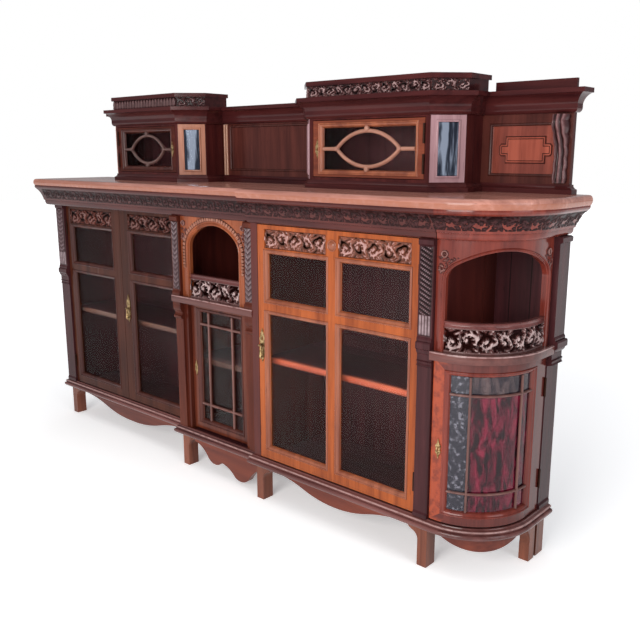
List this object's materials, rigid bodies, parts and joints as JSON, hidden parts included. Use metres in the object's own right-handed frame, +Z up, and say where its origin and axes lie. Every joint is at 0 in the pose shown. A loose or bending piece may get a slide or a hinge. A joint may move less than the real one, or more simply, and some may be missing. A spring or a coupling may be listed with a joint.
{
  "type": "display sideboard",
  "caption": "Long glazed display sideboard with arched niches, a quarter-round end, a stepped front and a low upper stage of small glazed cabinets with carved crests.",
  "frame": {"origin": "on the floor under the middle of the overall width and depth", "axes": "+X along the width to the quarter-round end, +Y to the back, +Z up; the glazed front faces -Y"},
  "size_m": [2.174, 0.378, 1.307],
  "materials": {
    "mahogany": "polished dark red-brown mahogany",
    "mahogany_light": "polished warm orange-brown mahogany",
    "mahogany_inner": "satin dark mahogany",
    "glass": "clear polished",
    "mirror": "bevelled silvered",
    "brass": "aged polished brass"
  },
  "bodies": {
    "carcase": {"apron_end": "mahogany", "arch_frame_b": "mahogany_light", "arch_frame_end": "mahogany", "back_boards": "mahogany_inner", "base_moulding": "mahogany", "bay_console": "mahogany", "bottom_boards": "mahogany_inner", "bracket_feet": "mahogany", "cant_mirrors": "mirror", "cornice_a_b": "mahogany", "cornice_c": "mahogany", "cornice_end": "mahogany", "crests": "mahogany", "fixed_hinge_halves": "brass", "front_aprons": "mahogany", "gallery_b": "mahogany", "gallery_end": "mahogany", "head_rails": "mahogany", "left_side_panel": "mahogany_inner", "niche_floors": "mahogany", "partition_a_b": "mahogany_inner", "partition_b_c": "mahogany_inner", "partition_c_end": "mahogany_inner", "pilaster_c": "mahogany", "pilaster_end": "mahogany", "pilaster_left": "mahogany", "right_side_panel": "mahogany_inner", "shelves": "mahogany_inner", "stiles_b": "mahogany", "top_board": "mahogany", "upper_back_board": "mahogany_inner", "upper_base_moulding": "mahogany", "upper_cabinet_left": "mahogany", "upper_cabinet_right": "mahogany", "upper_cornice": "mahogany", "upper_panels": "mahogany_light", "upper_top_boards": "mahogany_inner"},
    "door_a_left": {"door_a_left_brasses": "brass", "door_a_left_frame": "mahogany", "door_a_left_glass": "glass"},
    "door_a_right": {"door_a_right_brasses": "brass", "door_a_right_frame": "mahogany", "door_a_right_glass": "glass"},
    "door_b": {"door_b_brasses": "brass", "door_b_frame": "mahogany", "door_b_glass": "glass"},
    "door_c": {"door_c_brasses": "brass", "door_c_frame": "mahogany_light", "door_c_glass": "glass"},
    "door_end": {"door_end_brasses": "brass", "door_end_frame": "mahogany", "door_end_glass": "glass"},
    "upper_door_left": {"upper_door_left_brasses": "brass", "upper_door_left_frame": "mahogany_light", "upper_door_left_glass": "glass"},
    "upper_door_right": {"upper_door_right_brasses": "brass", "upper_door_right_frame": "mahogany_light", "upper_door_right_glass": "glass"},
    "pull_a": {"drop_pull_a": "brass"},
    "pull_c": {"drop_pull_c": "brass"}
  },
  "joints": [
    {"name": "door_a_left_swing", "type": "hinge", "parent": "carcase", "child": "door_a_left", "pos_m": [-0.9857, -0.0733, 0.5235], "axis": [0, 0, -1], "range_deg": [0, 90]},
    {"name": "door_a_right_swing", "type": "hinge", "parent": "carcase", "child": "door_a_right", "pos_m": [-0.2403, -0.0733, 0.5235], "axis": [0, 0, 1], "range_deg": [0, 90]},
    {"name": "door_b_swing", "type": "hinge", "parent": "carcase", "child": "door_b", "pos_m": [0.1037, -0.0953, 0.377], "axis": [0, 0, 1], "range_deg": [0, 95]},
    {"name": "door_c_swing", "type": "hinge", "parent": "carcase", "child": "door_c", "pos_m": [0.7857, -0.1303, 0.5235], "axis": [0, 0, 1], "range_deg": [0, 90]},
    {"name": "door_end_swing", "type": "hinge", "parent": "carcase", "child": "door_end", "pos_m": [1.0283, 0.1117, 0.372], "axis": [0, 0, 1], "range_deg": [0, 95]},
    {"name": "upper_door_left_swing", "type": "hinge", "parent": "carcase", "child": "upper_door_left", "pos_m": [-0.7177, 0.0157, 1.1145], "axis": [0, 0, -1], "range_deg": [0, 95]},
    {"name": "upper_door_right_swing", "type": "hinge", "parent": "carcase", "child": "upper_door_right", "pos_m": [0.6877, 0.0157, 1.1145], "axis": [0, 0, 1], "range_deg": [0, 95]},
    {"name": "pull_a_swing", "type": "hinge", "parent": "door_a_right", "child": "pull_a", "pos_m": [-0.581, -0.0795, 0.522], "axis": [-1, 0, 0], "range_deg": [0, 80]},
    {"name": "pull_c_swing", "type": "hinge", "parent": "door_c", "child": "pull_c", "pos_m": [0.21, -0.1365, 0.522], "axis": [-1, 0, 0], "range_deg": [0, 80]}
  ]
}
